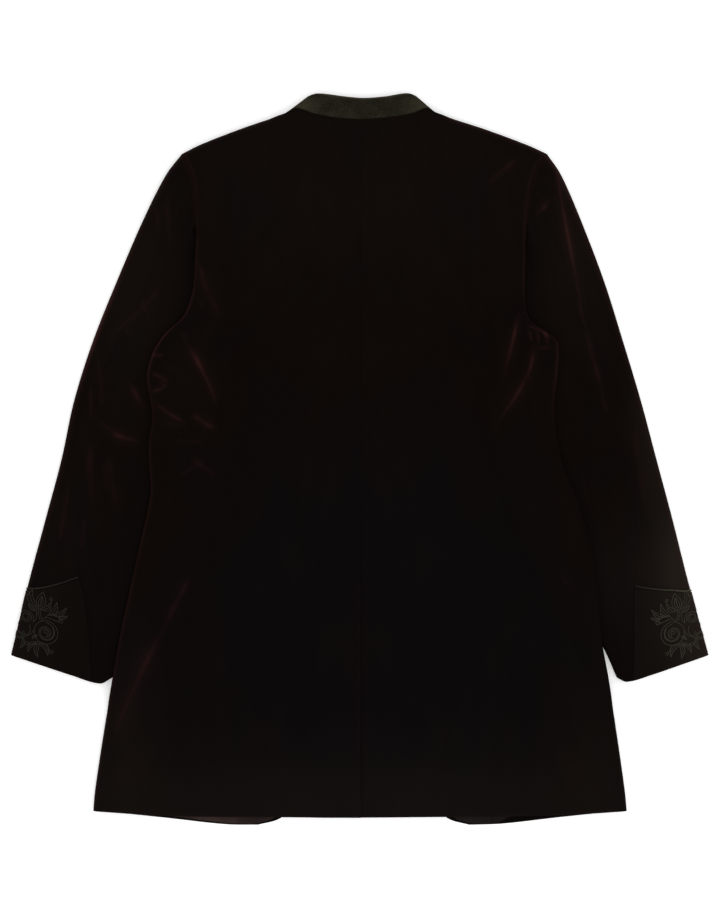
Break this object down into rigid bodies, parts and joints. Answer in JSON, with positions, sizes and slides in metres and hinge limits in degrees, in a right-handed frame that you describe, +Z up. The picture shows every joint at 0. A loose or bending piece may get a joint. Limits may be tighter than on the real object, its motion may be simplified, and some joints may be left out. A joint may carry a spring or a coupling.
{
  "type": "long velvet blazer laid flat face down",
  "caption": "Long dark velvet blazer laid flat face down: felt stand collar, back vent, piped and embroidered cuffs.",
  "frame": {"origin": "middle of the footprint, on the surface that the blazer lies on", "axes": "+Z up from the surface, +Y from the hem to the collar, +X to the right with the back up"},
  "size_m": [0.8021, 0.8414, 0.0254],
  "materials": {
    "velvet": "matte",
    "felt": "matte",
    "cord": "matte",
    "satin": "satin"
  },
  "bodies": {
    "root": {"back_left": "velvet", "back_right": "velvet", "front_left": "velvet", "front_right": "velvet", "sleeve_top_left": "velvet", "sleeve_top_right": "velvet", "sleeve_front_left": "velvet", "sleeve_front_right": "velvet", "sleeve_under_left": "velvet", "sleeve_under_right": "velvet", "cuff_left": "velvet", "cuff_right": "velvet", "cuff_piping_left": "cord", "cuff_piping_right": "cord", "collar": "felt", "lining_left": "satin", "lining_right": "satin"}
  },
  "joints": []
}
